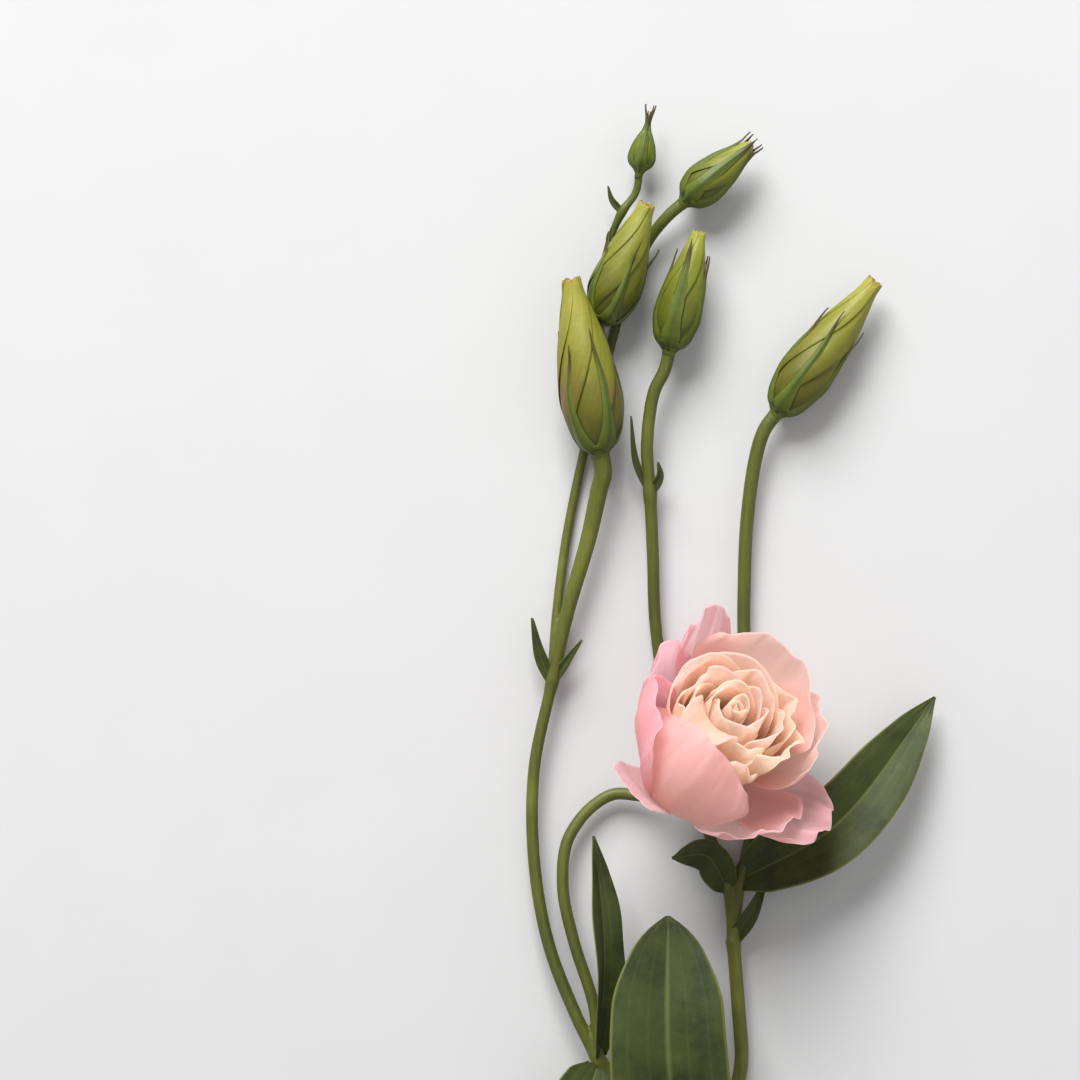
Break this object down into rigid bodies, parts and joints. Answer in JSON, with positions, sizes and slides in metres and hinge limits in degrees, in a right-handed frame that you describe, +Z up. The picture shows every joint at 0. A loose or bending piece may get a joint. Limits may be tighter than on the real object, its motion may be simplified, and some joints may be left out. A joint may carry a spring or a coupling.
{
  "type": "cut lisianthus flower stem",
  "caption": "Cut lisianthus stem lying on its side, with a ruffled double pink and cream bloom, furled green-yellow buds, clasping leaves and a branching stalk.",
  "frame": {"origin": "on the table under the middle of the whole stem's box", "axes": "+Y along the stem from its cut end towards the buds, +Z up, away from the table"},
  "size_m": [0.1377, 0.4948, 0.0643],
  "materials": {
    "stem": "smooth waxy green stem",
    "leaf": "matt grey-green leaf with a paler midrib",
    "sepal": "smooth green sepal with brown tips",
    "bud": "satin yellow-green furled petal",
    "outer_petal": "thin velvety pink petal, cream at its foot",
    "inner_petal": "thin velvety cream and peach petal"
  },
  "bodies": {
    "root": {"stem": "stem", "leaf_front": "leaf", "leaf_low_left": "leaf", "leaf_hanging": "leaf", "leaf_behind_arch": "leaf", "leaf_right": "leaf", "leaf_small": "leaf", "leaf_middle_left": "leaf", "leaf_middle_right": "leaf", "leaf_foot_left": "leaf", "leaf_foot_right": "leaf", "bud_left_petals": "bud", "bud_left_calyx": "sepal", "bud_upper_petals": "bud", "bud_upper_calyx": "sepal", "bud_right_petals": "bud", "bud_right_calyx": "sepal", "bud_inner_petals": "bud", "bud_inner_calyx": "sepal", "bud_high_petals": "bud", "bud_high_calyx": "sepal", "bud_small_petals": "bud", "bud_small_calyx": "sepal", "bloom_outer_petals": "outer_petal", "bloom_inner_petals": "inner_petal", "bloom_calyx": "sepal"}
  },
  "joints": []
}
